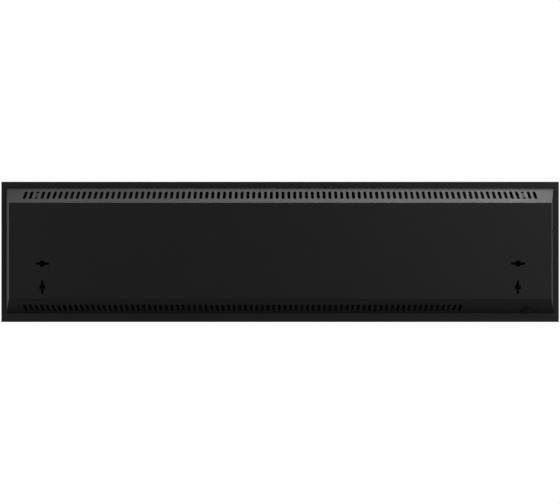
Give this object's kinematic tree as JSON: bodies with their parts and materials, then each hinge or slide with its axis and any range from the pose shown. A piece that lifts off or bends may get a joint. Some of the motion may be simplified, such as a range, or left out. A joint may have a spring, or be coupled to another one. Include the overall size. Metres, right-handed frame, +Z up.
{
  "type": "electric fireplace",
  "caption": "Slim linear electric fireplace with a glass front, a folded black casing with leaning slotted walls, keyholes behind, a flame spindle and a blower heater.",
  "frame": {"origin": "middle of the rear panel's outer face, which lies on the wall", "axes": "+X to the right as seen from the room, +Y into the wall, +Z up"},
  "size_m": [1.829, 0.098, 0.4599],
  "materials": {
    "coated_steel": "fine-textured black powder coat",
    "inner_black": "matt black heat-resistant coat",
    "zinc_steel": "zinc-coated sheet",
    "mirror_strip": "bright reflective sheet",
    "front_glass": "tempered glass with a black printed border",
    "foam": "matt",
    "smoked_acrylic": "satin diffusing sheet",
    "clear_acrylic": "clear",
    "crystal": "clear faceted",
    "aluminium": "plain",
    "enamelled_copper": "enamelled winding wire",
    "black_plastic": "fine-textured moulding",
    "white_plastic": "moulded",
    "circuit_board": "solder resist"
  },
  "bodies": {
    "fireplace": {"blower_bearing": "foam", "blower_end_left": "inner_black", "blower_end_right": "inner_black", "blower_motor_bridge": "aluminium", "blower_motor_coil": "enamelled_copper", "blower_motor_core": "zinc_steel", "blower_motor_cradle": "zinc_steel", "blower_scroll": "inner_black", "blower_tongue": "inner_black", "cord_gland": "black_plastic", "crystal_bed": "crystal", "element_holder_left": "white_plastic", "element_holder_right": "white_plastic", "ember_light_board": "circuit_board", "ember_tray": "clear_acrylic", "end_panel_left": "coated_steel", "end_panel_right": "coated_steel", "firebox_floor": "inner_black", "firebox_side_left": "inner_black", "firebox_side_right": "inner_black", "flame_light_board": "circuit_board", "flame_mask": "inner_black", "flame_screen": "smoked_acrylic", "floor_support": "inner_black", "front_glass": "front_glass", "gland_nut": "black_plastic", "glass_carrier": "inner_black", "glass_gasket": "foam", "heat_shield": "inner_black", "heating_element": "aluminium", "light_driver": "black_plastic", "main_board": "circuit_board", "outlet_grille": "black_plastic", "power_switch_body": "black_plastic", "rear_casing": "coated_steel", "spindle_bush_1": "white_plastic", "spindle_bush_2": "white_plastic", "spindle_bush_3": "white_plastic", "spindle_bush_4": "white_plastic", "spindle_motor": "aluminium", "spindle_motor_plate": "zinc_steel", "terminal_block": "white_plastic", "thermal_cutout": "black_plastic", "touch_board": "circuit_board", "trim_frame": "coated_steel"},
    "flame_spindle": {"spindle_rod": "zinc_steel", "spindle_coupling": "foam", "spindle_motor_shaft": "zinc_steel", "reflector_vane_1": "mirror_strip", "reflector_vane_2": "mirror_strip", "reflector_vane_3": "mirror_strip", "reflector_vane_4": "mirror_strip", "reflector_vane_5": "mirror_strip", "reflector_vane_6": "mirror_strip"},
    "blower_rotor": {"blower_fan": "black_plastic", "blower_motor_rotor": "zinc_steel", "blower_stub_axle": "zinc_steel"},
    "rocker": {"power_switch_rocker": "black_plastic"}
  },
  "joints": [
    {"name": "spindle_turn", "type": "hinge", "parent": "fireplace", "child": "flame_spindle", "pos_m": [0, -0.02597, -0.13805], "axis": [1, 0, 0], "continuous": true},
    {"name": "blower_turn", "type": "hinge", "parent": "fireplace", "child": "blower_rotor", "pos_m": [0, -0.03597, 0.14605], "axis": [1, 0, 0], "continuous": true},
    {"name": "rocker_tilt", "type": "hinge", "parent": "fireplace", "child": "rocker", "pos_m": [-0.88323, -0.0405, 0.06], "axis": [0.3015, 0.9535, 0], "range_deg": [0, 20]}
  ]
}
